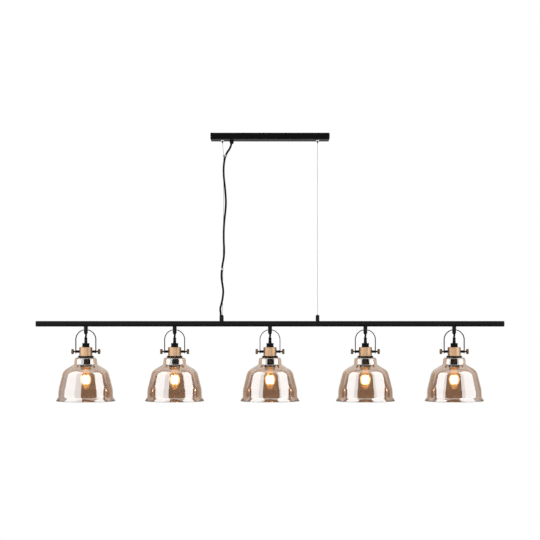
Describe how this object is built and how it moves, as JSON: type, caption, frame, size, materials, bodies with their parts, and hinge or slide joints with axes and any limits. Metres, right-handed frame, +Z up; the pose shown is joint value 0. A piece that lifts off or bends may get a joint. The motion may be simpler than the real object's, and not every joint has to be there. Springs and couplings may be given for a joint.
{
  "type": "linear island pendant",
  "caption": "Linear pendant: ceiling canopy, suspension wires and supply cable, a long round bar, and tilting lamp heads with bell-shaped amber glass shades.",
  "frame": {"origin": "on the ceiling plane, at the middle of the canopy and of the ceiling screw pattern", "axes": "+X along the bar, +Y away from the viewer, +Z up into the ceiling; everything hangs below z = 0"},
  "size_m": [1.5048, 0.1892, 0.8559],
  "materials": {
    "canopy_black": "satin black powder coat",
    "bracket_zinc": "zinc plated",
    "screw_steel": "bright plated",
    "terminal_white": "moulded",
    "gland_black": "moulded",
    "anchor_nickel": "nickel plated",
    "wire_steel": "stranded steel wire",
    "cable_black": "round black sheath",
    "tie_clear": "translucent moulded",
    "bar_black": "satin black powder coat",
    "bail_steel": "satin black strap",
    "ring_black": "satin black",
    "holder_black": "moulded",
    "brushed_brass": "brushed, warm copper-gold",
    "knob_brass": "aged bronze, knurled",
    "amber_glass": "amber, part mirrored",
    "lamp_glass": "warm filament lamp"
  },
  "bodies": {
    "root": {"canopy_cover": "canopy_black", "ceiling_bracket": "bracket_zinc", "canopy_screws": "screw_steel", "terminal_block": "terminal_white", "cable_gland": "gland_black", "wire_anchors": "anchor_nickel", "suspension_wire_left": "wire_steel", "suspension_wire_right": "wire_steel", "supply_cable": "cable_black", "cable_ties": "tie_clear"},
    "bar": {"bar_tube": "bar_black", "end_caps": "bar_black", "wire_grips": "bar_black", "hanger_stems": "bar_black", "head_cords": "cable_black", "bail_1": "bail_steel", "bail_2": "bail_steel", "bail_3": "bail_steel", "bail_4": "bail_steel", "bail_5": "bail_steel"},
    "head_1": {"shade_1": "amber_glass", "shade_rings_1": "ring_black", "collar_1": "brushed_brass", "head_fittings_1": "ring_black", "lampholder_1": "holder_black", "lamp_1": "lamp_glass"},
    "knob_left_1": {"knob_left_1": "knob_brass"},
    "knob_right_1": {"knob_right_1": "knob_brass"},
    "head_2": {"shade_2": "amber_glass", "shade_rings_2": "ring_black", "collar_2": "brushed_brass", "head_fittings_2": "ring_black", "lampholder_2": "holder_black", "lamp_2": "lamp_glass"},
    "knob_left_2": {"knob_left_2": "knob_brass"},
    "knob_right_2": {"knob_right_2": "knob_brass"},
    "head_3": {"shade_3": "amber_glass", "shade_rings_3": "ring_black", "collar_3": "brushed_brass", "head_fittings_3": "ring_black", "lampholder_3": "holder_black", "lamp_3": "lamp_glass"},
    "knob_left_3": {"knob_left_3": "knob_brass"},
    "knob_right_3": {"knob_right_3": "knob_brass"},
    "head_4": {"shade_4": "amber_glass", "shade_rings_4": "ring_black", "collar_4": "brushed_brass", "head_fittings_4": "ring_black", "lampholder_4": "holder_black", "lamp_4": "lamp_glass"},
    "knob_left_4": {"knob_left_4": "knob_brass"},
    "knob_right_4": {"knob_right_4": "knob_brass"},
    "head_5": {"shade_5": "amber_glass", "shade_rings_5": "ring_black", "collar_5": "brushed_brass", "head_fittings_5": "ring_black", "lampholder_5": "holder_black", "lamp_5": "lamp_glass"},
    "knob_left_5": {"knob_left_5": "knob_brass"},
    "knob_right_5": {"knob_right_5": "knob_brass"}
  },
  "joints": [
    {"name": "bar_height", "type": "slide", "parent": "root", "child": "bar", "axis": [0, 0, 1], "range_m": [0, 0.3], "deforming": ["suspension_wire_left", "suspension_wire_right", "supply_cable", "cable_ties"]},
    {"name": "head_tilt_1", "type": "hinge", "parent": "bar", "child": "head_1", "pos_m": [-0.591, 0, -0.698], "axis": [1, 0, 0], "range_deg": [-25, 25], "deforming": ["head_cords"]},
    {"name": "knob_left_turn_1", "type": "hinge", "parent": "head_1", "child": "knob_left_1", "pos_m": [-0.633, 0, -0.698], "axis": [-1, 0, 0], "range_deg": [0, 360]},
    {"name": "knob_right_turn_1", "type": "hinge", "parent": "head_1", "child": "knob_right_1", "pos_m": [-0.549, 0, -0.698], "axis": [1, 0, 0], "range_deg": [0, 360]},
    {"name": "head_tilt_2", "type": "hinge", "parent": "bar", "child": "head_2", "pos_m": [-0.306, 0, -0.698], "axis": [1, 0, 0], "range_deg": [-25, 25]},
    {"name": "knob_left_turn_2", "type": "hinge", "parent": "head_2", "child": "knob_left_2", "pos_m": [-0.348, 0, -0.698], "axis": [-1, 0, 0], "range_deg": [0, 360]},
    {"name": "knob_right_turn_2", "type": "hinge", "parent": "head_2", "child": "knob_right_2", "pos_m": [-0.264, 0, -0.698], "axis": [1, 0, 0], "range_deg": [0, 360]},
    {"name": "head_tilt_3", "type": "hinge", "parent": "bar", "child": "head_3", "pos_m": [0, 0, -0.698], "axis": [1, 0, 0], "range_deg": [-25, 25]},
    {"name": "knob_left_turn_3", "type": "hinge", "parent": "head_3", "child": "knob_left_3", "pos_m": [-0.042, 0, -0.698], "axis": [-1, 0, 0], "range_deg": [0, 360]},
    {"name": "knob_right_turn_3", "type": "hinge", "parent": "head_3", "child": "knob_right_3", "pos_m": [0.042, 0, -0.698], "axis": [1, 0, 0], "range_deg": [0, 360]},
    {"name": "head_tilt_4", "type": "hinge", "parent": "bar", "child": "head_4", "pos_m": [0.306, 0, -0.698], "axis": [1, 0, 0], "range_deg": [-25, 25]},
    {"name": "knob_left_turn_4", "type": "hinge", "parent": "head_4", "child": "knob_left_4", "pos_m": [0.264, 0, -0.698], "axis": [-1, 0, 0], "range_deg": [0, 360]},
    {"name": "knob_right_turn_4", "type": "hinge", "parent": "head_4", "child": "knob_right_4", "pos_m": [0.348, 0, -0.698], "axis": [1, 0, 0], "range_deg": [0, 360]},
    {"name": "head_tilt_5", "type": "hinge", "parent": "bar", "child": "head_5", "pos_m": [0.591, 0, -0.698], "axis": [1, 0, 0], "range_deg": [-25, 25]},
    {"name": "knob_left_turn_5", "type": "hinge", "parent": "head_5", "child": "knob_left_5", "pos_m": [0.549, 0, -0.698], "axis": [-1, 0, 0], "range_deg": [0, 360]},
    {"name": "knob_right_turn_5", "type": "hinge", "parent": "head_5", "child": "knob_right_5", "pos_m": [0.633, 0, -0.698], "axis": [1, 0, 0], "range_deg": [0, 360]}
  ]
}
